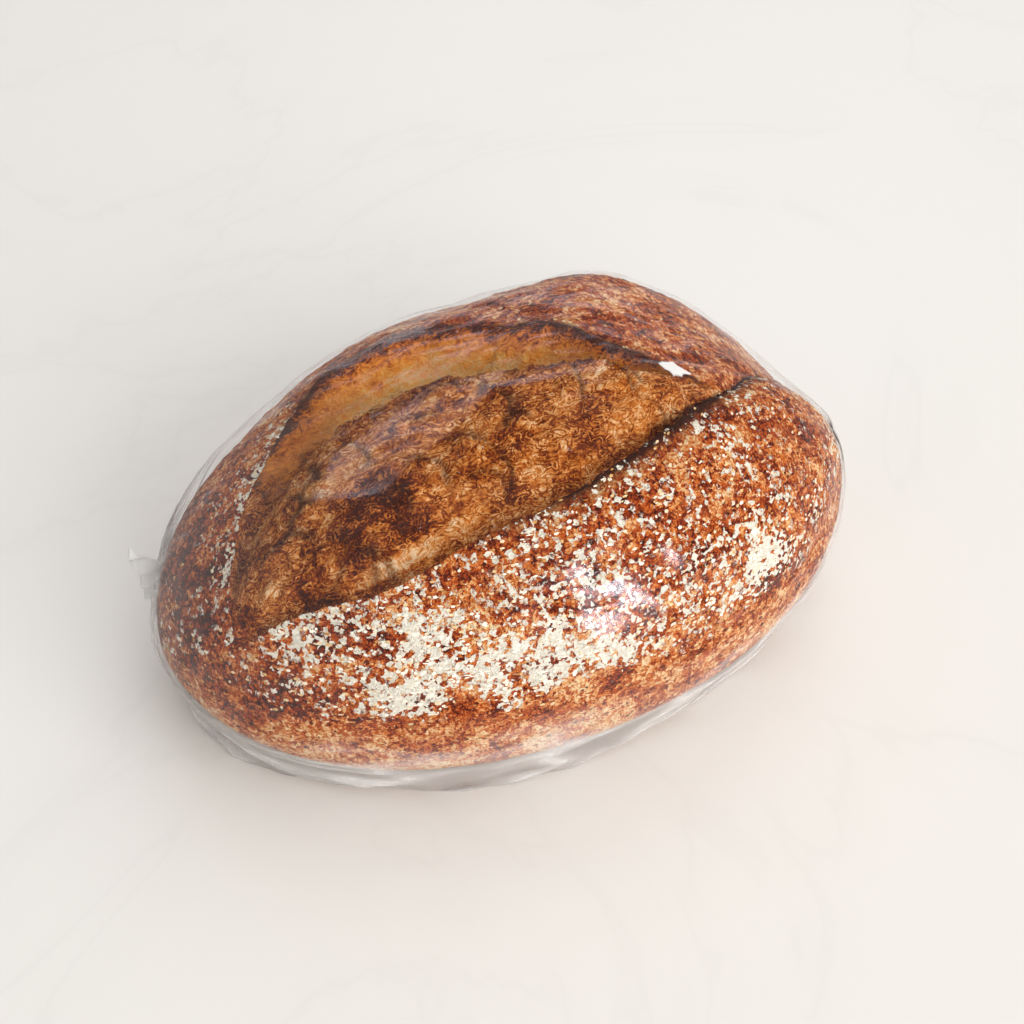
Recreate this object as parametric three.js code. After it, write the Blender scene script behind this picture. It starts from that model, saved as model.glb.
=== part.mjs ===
// A sourdough batard in a clear plastic bag, drawn tight round it and gathered at one end.
// Millimetres. +X runs along the loaf, +Y towards the ear of its score, +Z up.
// The origin lies on the table, under the middle of the whole part.
import * as THREE from 'three';
import { ConvexHull } from 'three/addons/math/ConvexHull.js';

// Driving dimensions of the loaf, without its bag.
const halfLength = 125;
const nearHalfWidth = 80;
const farHalfWidth = 90;
const crownHeight = 98.5;
const footHeight = 22.5; // height of the widest line at the middle
const footRise = 8.75; // how much higher that line is at the two ends
const flatShare = 0.44; // share of the half length whose underside lies level
const restFlattening = 1.2; // how far the underside is pressed flat

// Roundness of the outline in plan and from the side: 2 is an ellipse, more is squarer.
const planRound = { nearLeft: 2.0, nearRight: 2.03, farLeft: 1.7, farRight: 2.2 };
const sideRound = { left: 1.95, right: 1.86 };
const sectionRound = { near: 2.6, far: 2.4, under: 2.6 };
const outlineBend = 1.3;
const outlineSkew = 2.0;
const crownLean = 0.03;

// The score: both lips as [x, share of the half width], from the left end to the right end.
const nearLip = [
  [-125, -0.86], [-105, -0.75], [-88, -0.69], [-62, -0.68], [-36, -0.62],
  [0, -0.57], [29, -0.48], [54, -0.37], [77, -0.22], [92, -0.06], [108, 0.16], [125, 0.35],
];
const farLip = [
  [-125, -0.84], [-107.5, -0.72], [-105, -0.45], [-100, -0.22], [-91, 0.08], [-78, 0.3],
  [-62, 0.47], [-45, 0.55], [-26, 0.55], [-8, 0.46], [10, 0.33], [26, 0.23],
  [38, 0.07], [52, -0.07], [66, -0.22], [77, -0.17], [92, -0.01], [108, 0.2], [125, 0.39],
];
// How high the ear's edge stands off the body, as [x, height].
const earLift = [
  [-125, 0], [-100, 0], [-80, 0.8], [-58, 2.4], [-35, 2.8], [-12, 2.6], [8, 2.4],
  [20, 3.4], [33, 5], [44, 4.6], [56, 3], [68, 1.5], [78, 0], [125, 0],
];
const leastLipGap = 0.035; // keeps the columns of points apart beyond the score's two tips
const earOverhang = 3;
const earReach = 40; // how far behind its edge the ear's lift fades out at the right end
const earReachLeft = 22; // and at the left end
const bellyRise = 7.5;
const pocketDepth = 11;
const pocketShareLeft = 0.45; // how deep the pocket is at the left end, as a share of that
const grooveDepth = 3.5;
const grooveDepthRight = 6;
const creaseDepth = 3.5;
const lipSwell = 1.2;
// Broad swellings of the far side, and hollows where rise is below 0, seen from above.
const swellings = [
  { x: 58, y: 46, rise: 7.2, spreadX: 28, spreadY: 24 },
  { x: 110, y: 15, rise: -10, spreadX: 20, spreadY: 20 },
  { x: -76, y: 46, rise: -1.2, spreadX: 22, spreadY: 24 },
];

// The score's floor, as [share of the way from near lip to ear,
// parts of groove, belly, pocket and ear lift, part of the ear's overhang].
const scoreFloor = [
  [0.03, -0.75, 0, 0, 0, 0],
  [0.08, -0.85, 0.05, 0, 0, 0],
  [0.15, -0.2, 0.3, 0, 0, 0],
  [0.25, 0, 0.7, 0, 0, 0],
  [0.36, 0, 0.95, 0, 0, 0],
  [0.48, 0, 1, 0, 0, 0],
  [0.6, 0, 0.8, -0.05, 0, 0],
  [0.7, 0, 0.35, -0.3, 0, 0],
  [0.78, 0, 0, -0.85, 0, 0],
  [0.84, 0, 0, -1, 0.05, 0],
  [0.9, 0, 0, -0.5, 0.25, 0.1],
  [0.95, 0, 0, -0.05, 0.55, 0.5],
  [0.98, 0, 0, 0, 0.82, 1],
];

const stations = 76;
const nearColumns = 9;
const farColumns = 9;
const underColumns = 11;

// Smooth step from 0 at a to 1 at b; a may be the larger.
function ramp(a, b, x) {
  const t = THREE.MathUtils.clamp((x - a) / (b - a), 0, 1);
  return t * t * (3 - 2 * t);
}

// The value at x of a smooth curve through the given [x, value] points, without overshoot.
function along(points, x) {
  const last = points.length - 1;
  if (x <= points[0][0]) return points[0][1];
  if (x >= points[last][0]) return points[last][1];
  const i = points.findIndex((point) => point[0] > x) - 1;
  const rise = (k) => (points[k + 1][1] - points[k][1]) / (points[k + 1][0] - points[k][0]);
  const slope = (k) => {
    if (k === 0 || k === last) return 0;
    const before = rise(k - 1);
    const after = rise(k);
    return before * after <= 0 ? 0 : (2 * before * after) / (before + after);
  };
  const width = points[i + 1][0] - points[i][0];
  const t = (x - points[i][0]) / width;
  const start = points[i][1] * (1 + 2 * t) * (1 - t) ** 2 + slope(i) * width * t * (1 - t) ** 2;
  const end = points[i + 1][1] * t * t * (3 - 2 * t) - slope(i + 1) * width * t * t * (1 - t);
  return start + end;
}

// The outline's measures at one place along the loaf.
function outlineAt(x) {
  const u = Math.min(Math.abs(x) / halfLength, 1);
  const arc = (n) => Math.max(1 - u ** n, 0) ** (1 / n);
  const left = x < 0;
  const foot = footHeight + footRise * u * u;
  const underside = Math.max((u - flatShare) / (1 - flatShare), 0);
  const sideArc = arc(left ? sideRound.left : sideRound.right);
  return {
    near: nearHalfWidth * arc(left ? planRound.nearLeft : planRound.nearRight),
    far: farHalfWidth * arc(left ? planRound.farLeft : planRound.farRight),
    middle: outlineBend * (u * u - 0.33) + outlineSkew * (x / halfLength) * (1 - u * u),
    foot,
    crown: foot + (crownHeight - footHeight) * sideArc * (1 + (crownLean * x) / halfLength),
    under: foot * (1 - Math.sqrt(Math.max(1 - underside ** 2, 0))),
  };
}

// Even turns of angle from -90 to 90 degrees give points that are well spread round a section.
function angleAt(share) {
  const n = share < 0 ? sectionRound.near : sectionRound.far;
  return Math.asin(Math.sign(share) * Math.abs(share) ** (n / 2));
}

function shareAt(angle) {
  const side = Math.sin(angle);
  const n = side < 0 ? sectionRound.near : sectionRound.far;
  return Math.sign(side) * Math.abs(side) ** (2 / n);
}

// A point of the smooth body: share is -1 at the near edge, 0 on the crown and 1 at the far edge.
function bodyPoint(outline, share) {
  const near = share < 0;
  const n = near ? sectionRound.near : sectionRound.far;
  const width = near ? outline.near : outline.far;
  const height = outline.crown - outline.foot;
  const up = Math.max(1 - Math.abs(share) ** n, 0) ** (1 / n);
  const normal = new THREE.Vector2(
    (Math.sign(share) * Math.abs(share) ** (n - 1)) / Math.max(width, 1),
    up ** (n - 1) / Math.max(height, 1),
  ).normalize();
  return { y: outline.middle + share * width, z: outline.foot + height * up, normal, width };
}

// The body point moved out along its normal, and back over the score by the overhang.
function movedPoint(body, out, over) {
  return [
    body.y + body.normal.x * out - body.normal.y * over,
    body.z + body.normal.y * out + body.normal.x * over,
  ];
}

// One closed section of the loaf, from its near edge over the top and back underneath.
function loafSection(x) {
  const outline = outlineAt(x);
  const lip = along(nearLip, x);
  const ear = Math.max(along(farLip, x), lip + leastLipGap);
  const open = ramp(-109, -98, x) * ramp(76, 56, x);
  const lift = along(earLift, x);
  const groove = open * THREE.MathUtils.lerp(grooveDepth, grooveDepthRight, ramp(15, 62, x));
  const crease = creaseDepth * ramp(56, 76, x) * ramp(114, 98, x);
  const belly = bellyRise * open * ramp(-112, -60, x) * ramp(78, 30, x);
  const pocketShare = THREE.MathUtils.lerp(pocketShareLeft, 1, ramp(-85, -40, x));
  const pocket = pocketDepth * pocketShare * open * ramp(60, 25, x);
  const lipPoint = bodyPoint(outline, lip);
  const fade = ramp(halfLength, halfLength - 12, Math.abs(x));

  const swellingAt = (body) => swellings.reduce((total, place) => {
    const dx = (x - place.x) / place.spreadX;
    const dy = (body.y - place.y) / place.spreadY;
    return total + fade * place.rise * Math.exp(-dx * dx - dy * dy);
  }, 0);
  const reach = THREE.MathUtils.lerp(earReachLeft, earReach, ramp(-60, -5, x));
  const creaseCut = (body) => crease * Math.exp(-(((body.y - lipPoint.y) / 4.5) ** 2));
  const section = [];
  for (let i = 0; i <= nearColumns; i += 1) {
    const share = shareAt(THREE.MathUtils.lerp(-Math.PI / 2, angleAt(lip), i / nearColumns));
    const body = bodyPoint(outline, share);
    const away = (lip - share) * body.width;
    const swell = lipSwell * fade * (open + ramp(56, 76, x)) * Math.exp(-away / 9);
    section.push(movedPoint(body, swell + swellingAt(body) - creaseCut(body), 0));
  }
  for (const [part, g, b, p, e, over] of scoreFloor) {
    const body = bodyPoint(outline, THREE.MathUtils.lerp(lip, ear, part));
    const out = g * groove + b * belly + p * pocket + e * lift;
    section.push(movedPoint(body, out + swellingAt(body) - creaseCut(body),
      over * earOverhang * Math.min(lift / 8, 1)));
  }
  const earPoint = bodyPoint(outline, ear);
  for (let i = 0; i <= farColumns; i += 1) {
    const turn = (i / farColumns) ** 1.3; // the columns stand closer together near the ear's edge
    const share = shareAt(THREE.MathUtils.lerp(angleAt(ear), Math.PI / 2, turn));
    const body = bodyPoint(outline, share);
    const away = Math.hypot(body.y - earPoint.y, body.z - earPoint.z);
    const raised = lift * Math.exp(-((away / reach) ** 1.5));
    section.push(movedPoint(body, raised + swellingAt(body) - creaseCut(body),
      earOverhang * Math.min(lift / 8, 1) * Math.exp(-away / 8)));
  }
  for (let i = 1; i <= underColumns; i += 1) {
    const angle = THREE.MathUtils.lerp(Math.PI / 2, -Math.PI / 2, i / (underColumns + 1));
    const side = Math.sin(angle);
    const width = side < 0 ? outline.near : outline.far;
    const down = Math.cos(angle) ** (2 / sectionRound.under);
    const depth = (outline.foot - outline.under) * (1 + restFlattening / footHeight);
    section.push([
      outline.middle + Math.sign(side) * Math.abs(side) ** (2 / sectionRound.under) * width,
      Math.max(outline.foot - depth * down, 0),
    ]);
  }
  return section;
}

// A closed surface through rings of equal length, with a fan of triangles at each end.
function skin(rings, startPoint, endPoint) {
  const count = rings[0].length;
  const vertices = rings.flat().concat([startPoint, endPoint]).flat();
  const faces = [];
  for (let i = 0; i < rings.length - 1; i += 1) {
    for (let j = 0; j < count; j += 1) {
      const a = i * count + j;
      const b = i * count + ((j + 1) % count);
      faces.push(a, a + count, b, b, a + count, b + count);
    }
  }
  const start = rings.length * count;
  const lastRing = (rings.length - 1) * count;
  for (let j = 0; j < count; j += 1) {
    const next = (j + 1) % count;
    faces.push(start, j, next);
    faces.push(start + 1, lastRing + next, lastRing + j);
  }
  const geometry = new THREE.BufferGeometry();
  geometry.setAttribute('position', new THREE.Float32BufferAttribute(vertices, 3));
  geometry.setIndex(faces);
  return geometry;
}

// The bag: film thickness drawn much thicker than real so that it stays one sound solid.
const bagInnerGap = 2.3;
const bagWall = 0.6;
const bagFloorWall = 0.4;
const loafLift = bagFloorWall + 0.3;
const bagHeart = new THREE.Vector3(0, 0, 45);
const gatherDirection = new THREE.Vector3(-0.967, 0.232, -0.1).normalize();
const gatherStart = 0.035; // angle from the gather's line where the bag meets its neck
const bagRings = 32;
const bagColumns = 44;
// The gathered neck and the flared tail beyond it: [distance out, half height, half width].
const bagTail = [[1.2, 4, 3], [4, 7.5, 3.2], [8, 11.5, 3.6]];

// How far the loaf's hull, pushed out by the gap, reaches from the bag's heart along a direction.
function hullReach(hull, direction, gap) {
  let reach = Infinity;
  for (const face of hull.faces) {
    const facing = face.normal.dot(direction);
    if (facing > 1e-6) {
      const depth = face.constant - face.normal.dot(bagHeart);
      reach = Math.min(reach, (depth + gap) / facing);
    }
  }
  return reach;
}

function bagGeometry(loafGeometry) {
  const points = [];
  const positions = loafGeometry.getAttribute('position');
  for (let i = 0; i < positions.count; i += 1) {
    points.push(new THREE.Vector3().fromBufferAttribute(positions, i));
  }
  const hull = new ConvexHull().setFromPoints(points);
  const sideways = new THREE.Vector3(0, 0, 1).cross(gatherDirection).normalize();
  const upward = gatherDirection.clone().cross(sideways);

  const directionAt = (polar, turn) => gatherDirection.clone().multiplyScalar(Math.cos(polar))
    .addScaledVector(sideways, Math.sin(polar) * Math.cos(turn))
    .addScaledVector(upward, Math.sin(polar) * Math.sin(turn));
  const ringAt = (polar, gap, floor) => Array.from({ length: bagColumns }, (_, j) => {
    const direction = directionAt(polar, (2 * Math.PI * j) / bagColumns);
    const point = direction.multiplyScalar(hullReach(hull, direction, gap)).add(bagHeart);
    return [point.x, point.y, Math.max(point.z, floor)];
  });
  const neckStart = hullReach(hull, gatherDirection, bagInnerGap + bagWall);
  const tailRing = ([out, tall, wide], shrink) => Array.from({ length: bagColumns }, (_, j) => {
    const turn = (2 * Math.PI * j) / bagColumns;
    const point = bagHeart.clone().addScaledVector(gatherDirection, neckStart + out)
      .addScaledVector(sideways, (wide - shrink) * Math.cos(turn))
      .addScaledVector(upward, (tall - shrink) * Math.sin(turn));
    return point.toArray();
  });
  const rings = [];
  const polarAt = (i) => THREE.MathUtils.lerp(gatherStart, Math.PI, i / bagRings);
  for (const tail of [...bagTail].reverse()) rings.push(tailRing(tail, 0));
  for (let i = 0; i < bagRings; i += 1) rings.push(ringAt(polarAt(i), bagInnerGap + bagWall, 0));
  const outerCount = rings.length;
  for (let i = bagRings - 1; i >= 0; i -= 1) rings.push(ringAt(polarAt(i), bagInnerGap, bagFloorWall));
  for (const tail of bagTail) rings.push(tailRing(tail, bagWall));

  const farPole = (gap) => directionAt(Math.PI, 0)
    .multiplyScalar(hullReach(hull, directionAt(Math.PI, 0), gap)).add(bagHeart).toArray();
  const vertices = rings.flat().concat([farPole(bagInnerGap + bagWall), farPole(bagInnerGap)]).flat();
  const faces = [];
  const pole = rings.length * bagColumns;
  rings.forEach((ring, i) => {
    const beyond = (i + 1) % rings.length;
    for (let j = 0; j < bagColumns; j += 1) {
      const next = (j + 1) % bagColumns;
      const a = i * bagColumns + j;
      const b = i * bagColumns + next;
      const c = beyond * bagColumns + j;
      const d = beyond * bagColumns + next;
      if (i === outerCount - 1) faces.push(a, pole, b, c, d, pole + 1);
      else faces.push(a, c, b, b, c, d);
    }
  });
  const geometry = new THREE.BufferGeometry();
  geometry.setAttribute('position', new THREE.Float32BufferAttribute(vertices, 3));
  geometry.setIndex(faces);
  return geometry;
}

function loafGeometry() {
  const rings = [];
  for (let i = 1; i < stations; i += 1) {
    const x = -halfLength * Math.cos((Math.PI * i) / stations);
    rings.push(loafSection(x).map(([y, z]) => [x, y, z]));
  }
  const tip = (x) => [x, outlineAt(x).middle, outlineAt(x).foot];
  return skin(rings, tip(-halfLength), tip(halfLength)).translate(0, 0, loafLift);
}

const loaf = new THREE.Mesh(
  loafGeometry(),
  new THREE.MeshStandardMaterial({ color: 0x9a5524, roughness: 0.7, metalness: 0 }),
);
loaf.name = 'loaf';

const bag = new THREE.Mesh(
  bagGeometry(loaf.geometry),
  new THREE.MeshStandardMaterial({
    color: 0xf4f6f6, roughness: 0.12, metalness: 0, transparent: true, opacity: 0.25,
  }),
);
bag.name = 'clear_bag';

// The whole part is moved so that the origin lies under the middle of its box.
const whole = new THREE.Group();
whole.add(loaf, bag);
const middle = new THREE.Box3().setFromObject(whole).getCenter(new THREE.Vector3());
for (const mesh of whole.children) mesh.geometry.translate(-middle.x, -middle.y, 0);

export default whole;
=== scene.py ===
import math
import random

import bmesh
import bpy
import numpy as np
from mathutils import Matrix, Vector, noise
from mathutils.bvhtree import BVHTree


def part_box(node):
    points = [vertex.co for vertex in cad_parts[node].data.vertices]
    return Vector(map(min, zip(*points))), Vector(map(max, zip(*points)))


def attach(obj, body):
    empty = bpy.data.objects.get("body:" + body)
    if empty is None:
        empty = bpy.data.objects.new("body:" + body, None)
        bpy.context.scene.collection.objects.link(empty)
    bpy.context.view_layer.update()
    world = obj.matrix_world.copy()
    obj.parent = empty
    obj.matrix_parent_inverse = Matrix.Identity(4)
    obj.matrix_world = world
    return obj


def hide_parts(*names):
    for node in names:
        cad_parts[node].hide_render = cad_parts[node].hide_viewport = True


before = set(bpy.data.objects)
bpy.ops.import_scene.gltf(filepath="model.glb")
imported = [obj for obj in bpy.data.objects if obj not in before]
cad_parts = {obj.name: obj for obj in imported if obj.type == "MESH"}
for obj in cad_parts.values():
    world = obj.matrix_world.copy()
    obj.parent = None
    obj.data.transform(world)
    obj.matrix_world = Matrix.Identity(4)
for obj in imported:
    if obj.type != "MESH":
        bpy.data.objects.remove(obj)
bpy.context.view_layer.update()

# ---------------------------------------------------------------------------------------------
# The studio: a marble table in a pale room, seen from the loaf's near left corner and well above.
# A broad soft light hangs overhead on the right, and a low one fills in from the front. The three
# windows light nothing: they are there only for the film to mirror.
# ---------------------------------------------------------------------------------------------

MM = 0.001
loaf_low, loaf_high = (np.array(corner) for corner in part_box("loaf"))
loaf_middle = (loaf_low + loaf_high) / 2


def linear(code):
    """An sRGB hex colour as linear red, green, blue and alpha."""
    values = [int(code[i:i + 2], 16) / 255 for i in (1, 3, 5)]
    return [v / 12.92 if v <= 0.04045 else ((v + 0.055) / 1.055) ** 2.4 for v in values] + [1]


def add(tree, kind, out=0, inputs=None, stops=None, **settings):
    """Adds a node, sets its properties and colour stops, links or sets its inputs, returns one output."""
    made = tree.nodes.new(kind)
    for name, value in settings.items():
        setattr(made, name, value)
    for name, value in (inputs or {}).items():
        if isinstance(value, bpy.types.NodeSocket):
            tree.links.new(value, made.inputs[name])
        else:
            made.inputs[name].default_value = value
    for i, (place, code) in enumerate(stops or []):
        ramp_stops = made.color_ramp.elements
        stop = ramp_stops[i] if i < len(ramp_stops) else ramp_stops.new(place)
        stop.position = place
        stop.color = linear(code)
    return made.outputs[out] if len(made.outputs) else made


def new_material(name):
    """An empty node material, and its tree."""
    made = bpy.data.materials.new(name)
    made.use_nodes = True
    made.node_tree.nodes.clear()
    return made, made.node_tree


def placed(obj):
    """Links a new object into the scene and hands it back."""
    bpy.context.scene.collection.objects.link(obj)
    return obj


camera_turn = math.radians(-25)
camera_height = math.radians(45)
camera_distance = 0.589
look_forward, look_height = 0.0034, 0.0407
framing_shift = Vector((0.0011, 0.00114, 0))
look_at = Vector((loaf_middle[0], loaf_middle[1] - look_forward, look_height))
backward = Vector((
    math.sin(camera_turn) * math.cos(camera_height),
    -math.cos(camera_turn) * math.cos(camera_height),
    math.sin(camera_height),
))
camera = placed(bpy.data.objects.new("camera", bpy.data.cameras.new("camera")))
camera.data.lens = 60
camera.data.sensor_width = 36
camera.data.clip_start = 0.01
camera.rotation_euler = backward.to_track_quat("Z", "Y").to_euler()
aside = camera.rotation_euler.to_matrix() @ framing_shift
camera.location = look_at + backward * camera_distance + aside
bpy.context.scene.camera = camera
bpy.context.scene.view_settings.view_transform = "Standard"

room_light, room_mirrored = 0.6, 0.34
world = bpy.data.worlds.new("room")
world.use_nodes = True
world.node_tree.nodes.clear()
ray = add(world.node_tree, "ShaderNodeLightPath", "Is Glossy Ray")
room_strength = add(world.node_tree, "ShaderNodeMapRange", 0, {0: ray, 3: room_light, 4: room_mirrored})
room = add(world.node_tree, "ShaderNodeBackground", 0, {
    "Color": linear("#F2F1EF"), "Strength": room_strength})
add(world.node_tree, "ShaderNodeOutputWorld", 0, {"Surface": room})
bpy.context.scene.world = world


def area_light(name, turn, height, distance, size, power, colour, mirrored=False):
    """A flat light facing the loaf, from a direction in degrees: it either lights or is mirrored."""
    lamp = bpy.data.lights.new(name, "AREA")
    lamp.shape = "RECTANGLE"
    lamp.size, lamp.size_y = size
    lamp.energy = power
    lamp.color = linear(colour)[:3]
    light = placed(bpy.data.objects.new(name, lamp))
    around, up = math.radians(turn), math.radians(height)
    towards = Vector((math.sin(around) * math.cos(up), -math.cos(around) * math.cos(up), math.sin(up)))
    light.location = look_at + towards * distance
    light.rotation_euler = towards.to_track_quat("Z", "Y").to_euler()
    light.visible_glossy = mirrored
    light.visible_diffuse = not mirrored


area_light("overhead", 105, 62, 2.6, (3.4, 3.2), 31, "#FFFDFA")
area_light("front_fill", 18, 22, 2.8, (3.0, 2.2), 86, "#FFFDFA")
area_light("front_window", 20, 8, 2.2, (0.8, 1.9), 105, "#F6F3FF", mirrored=True)
area_light("back_window", 166, 48, 2.2, (2.2, 1.4), 30, "#F6F2FF", mirrored=True)
area_light("far_window", 156, 9, 2.2, (2.2, 0.4), 5, "#F6F4FF", mirrored=True)

table_half = 3.0
table_corners = [(-table_half, -table_half, 0), (table_half, -table_half, 0),
                 (table_half, table_half, 0), (-table_half, table_half, 0)]
table_mesh = bpy.data.meshes.new("table_top")
table_mesh.from_pydata(table_corners, [], [(0, 1, 2, 3)])
table_top = placed(bpy.data.objects.new("table_top", table_mesh))

# Honed white marble: matt and warm white, with faint grey veins that wander across it.
table_finish, tree = new_material("honed_white_marble")
place = add(tree, "ShaderNodeTexCoord", "Object")
veins = add(tree, "ShaderNodeTexNoise", 0, {
    "Vector": place, "Scale": 3.2, "Detail": 5, "Roughness": 0.55, "Distortion": 1.2})
vein_edge = add(tree, "ShaderNodeMath", 0, {0: veins, 1: 0.5}, operation="SUBTRACT")
vein_edge = add(tree, "ShaderNodeMath", 0, {0: vein_edge}, operation="ABSOLUTE")
marble = add(tree, "ShaderNodeValToRGB", 0, {0: vein_edge}, stops=[
    (0.0, "#DFDDD9"), (0.01, "#E1DFDB"), (0.05, "#E2E0DC")])
table_shader = add(tree, "ShaderNodeBsdfPrincipled", 0, {
    "Base Color": marble, "Roughness": 0.5, "Specular IOR Level": 0.3})
add(tree, "ShaderNodeOutputMaterial", 0, {"Surface": table_shader})
table_mesh.materials.append(table_finish)

# ---------------------------------------------------------------------------------------------
# The loaf: one baked piece of wheat dough, proved in a basket, scored once with a blade, and baked.
# The score opened in the oven: its far lip lifted as an ear over a pale wall, and the soft dough
# between the lips rose as a torn belly. The crust is red-brown and floured, and dark along the lips.
# ---------------------------------------------------------------------------------------------

# Sizes are in millimetres until the mesh is made: x runs along the loaf, y goes away and z up.
half_length, near_half_width, far_half_width = 125, 80, 90
near_fullness, far_fullness = 2.6, 2.4
crown_height, foot_height, foot_rise, flat_share, rest_flattening = 98.5, 22.5, 8.75, 0.44, 1.2
end_bow, bow_share, sway, crown_tilt, end_crowding = 1.3, 0.33, 2, 0.03, 0.6
lip_crowding, ear_crowding = 1.35, 1.5

# Each lip at places along the loaf, as a share of the half width, and the height of the ear there.
near_lip = [
    (-125, -0.86), (-105, -0.75), (-88, -0.69), (-62, -0.68), (-36, -0.62),
    (0, -0.57), (29, -0.48), (54, -0.37), (77, -0.22), (92, -0.06), (108, 0.16), (125, 0.35),
]
far_lip = [
    (-125, -0.84), (-107.5, -0.72), (-105, -0.45), (-100, -0.22), (-91, 0.08), (-78, 0.3),
    (-62, 0.47), (-45, 0.55), (-26, 0.55), (-8, 0.46), (10, 0.33), (26, 0.23),
    (38, 0.07), (52, -0.07), (66, -0.22), (77, -0.17), (92, -0.01), (108, 0.2), (125, 0.39),
]
ear_lift = [
    (-125, 0), (-100, 0), (-80, 0.8), (-58, 2.4), (-35, 2.8), (-12, 2.6), (8, 2.4), (20, 3.4),
    (33, 5), (44, 4.6), (56, 3), (68, 1.5), (78, 0), (125, 0),
]

# The score from its near lip at 0 to its far lip at 1: what lifts or sinks it, and by what share.
groove_part = [(0, 0), (0.02, -0.6), (0.045, -0.9), (0.08, -0.8), (0.16, -0.15), (0.25, 0), (1, 0)]
belly_part = [
    (0, 0), (0.06, 0), (0.15, 0.3), (0.25, 0.7), (0.48, 1), (0.6, 0.8), (0.7, 0.35), (0.79, 0), (1, 0),
]
pocket_part = [
    (0, 0), (0.56, 0), (0.7, -0.3), (0.8, -0.95), (0.845, -1), (0.9, -0.5), (0.95, -0.05), (1, 0),
]
lift_part = [(0, 0), (0.8, 0), (0.86, 0.08), (0.92, 0.3), (0.96, 0.6), (0.985, 0.84), (1, 1)]
over_part = [(0, 0), (0.86, 0), (0.92, 0.15), (0.96, 0.55), (0.985, 1), (1, 1)]
score_crowding = [(0, 0), (0.22, 0.09), (0.66, 0.78), (1, 1)]
ear_overhang, ear_reach, least_lip_gap = 3, 40, 0.035
groove_depth, groove_right, crease_depth, belly_rise, pocket_depth = 3.5, 2.5, 3.5, 7.5, 11

# Lobes of torn skin on the belly: centre, radius, where the edge starts and ends in degrees, height.
small_lobe_count = 34
torn_lobes = [
    ((-26, -14), 18, -10, 95, 3.8), ((-36, -34), 19, -10, 60, 3.2), ((-2, -8), 20, -30, 60, 2.8),
    ((18, -18), 16, 0, 80, 2.8), ((-62, 2), 16, 10, 110, 2.6), ((4, 10), 14, 20, 130, 2.4),
]

# Holes that gas left in the wall and under the near lip: place seen from above, size and depth.
gas_holes = [
    ((-45, 18), 4.5, 4.5), ((-74, 9.5), 3, 3.5), ((-68, 9), 2.5, 2.5),
    ((38, -29), 2.6, 4), ((45, -25), 3, 5), ((55, -19.5), 2.6, 4.5), ((62, -15), 2.2, 4),
]

# Patches where the basket left thick flour: centre, size and amount.
flour_patches = [
    ((-88, -46, 66), 13, 0.35), ((-56, -63, 68), 13, 0.5), ((-22, -78, 57), 15, 0.7),
    ((-2, -80, 48), 10, 0.4), ((57, -69, 58), 13, 0.9), ((-39, -76, 50), 12, 0.7),
    ((-68, -67, 50), 12, 0.5),
]


def ramp(a, b, x):
    """Smooth step from 0 at a to 1 at b; a may be the larger."""
    t = np.clip((x - a) / (b - a), 0, 1)
    return t * t * (3 - 2 * t)


def along(points, x):
    """Smooth curve through the given (x, value) points, without overshoot."""
    px, py = np.array(points, float).T
    rise = np.diff(py) / np.diff(px)
    slope = np.zeros(len(px))
    same_way = rise[:-1] * rise[1:] > 0
    total = np.where(same_way, rise[:-1] + rise[1:], 1)
    slope[1:-1] = np.where(same_way, 2 * rise[:-1] * rise[1:] / total, 0)
    x = np.clip(x, px[0], px[-1])
    i = np.clip(np.searchsorted(px, x, side="right") - 1, 0, len(px) - 2)
    width = px[i + 1] - px[i]
    t = (x - px[i]) / width
    start = py[i] * (1 + 2 * t) * (1 - t) ** 2 + slope[i] * width * t * (1 - t) ** 2
    return start + py[i + 1] * t * t * (3 - 2 * t) - slope[i + 1] * width * t * t * (1 - t)


def wobble(x, size, seed):
    """Random waviness between -1 and 1 along a line, of the given size in mm."""
    heights = [noise.noise(Vector((v / size, seed, 0.5))) for v in np.ravel(x)]
    return np.array(heights).reshape(np.shape(x))


def lumps(points, size, seed, octaves=3):
    """Random lumpiness in space, about -1 to 1. Size is in mm, one number or one for each axis."""
    shift = Vector((seed, 2.3 * seed, -1.7 * seed))
    scaled = np.asarray(points) / size
    return np.array([noise.fractal(Vector(p) + shift, 1.0, 2.0, octaves) for p in scaled])


def rounded(share, fullness):
    """Half width of a rounded outline at a share of its length: 2 is an ellipse, more is fuller."""
    return (1 - share ** fullness) ** (1 / fullness)


# Stations along the loaf and the body's outline at each of them.
station_count = 350
evenly = np.linspace(-1, 1, station_count + 2)[1:-1]
crowded = end_crowding * np.sin(evenly * math.pi / 2) + (1 - end_crowding) * evenly
x = half_length * crowded[:, None]
u = np.abs(x) / half_length
foot = foot_height + foot_rise * u ** 2
near_width = near_half_width * np.where(x < 0, rounded(u, 2), rounded(u, 2.03))
far_width = far_half_width * np.where(x < 0, rounded(u, 1.7), rounded(u, 2.2))
middle = end_bow * (u ** 2 - bow_share) + sway * (x / half_length) * (1 - u ** 2)
side_arc = np.where(x < 0, rounded(u, 1.95), rounded(u, 1.86))
crown = foot + (crown_height - foot_height) * side_arc * (1 + crown_tilt * x / half_length)
inward = np.clip((u - flat_share) / (1 - flat_share), 0, 1)
under = foot * (1 - np.sqrt(1 - inward ** 2))


def angle_at(share):
    """The turn round a section, from level on the near side to level on the far one, at a share."""
    return np.arcsin(np.sign(share) * np.abs(share) ** (np.where(share < 0, near_fullness, far_fullness) / 2))


def share_at(angle):
    """The share of the half width at a turn round a section."""
    s = np.sin(angle)
    return np.sign(s) * np.abs(s) ** (2 / np.where(s < 0, near_fullness, far_fullness))


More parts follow.
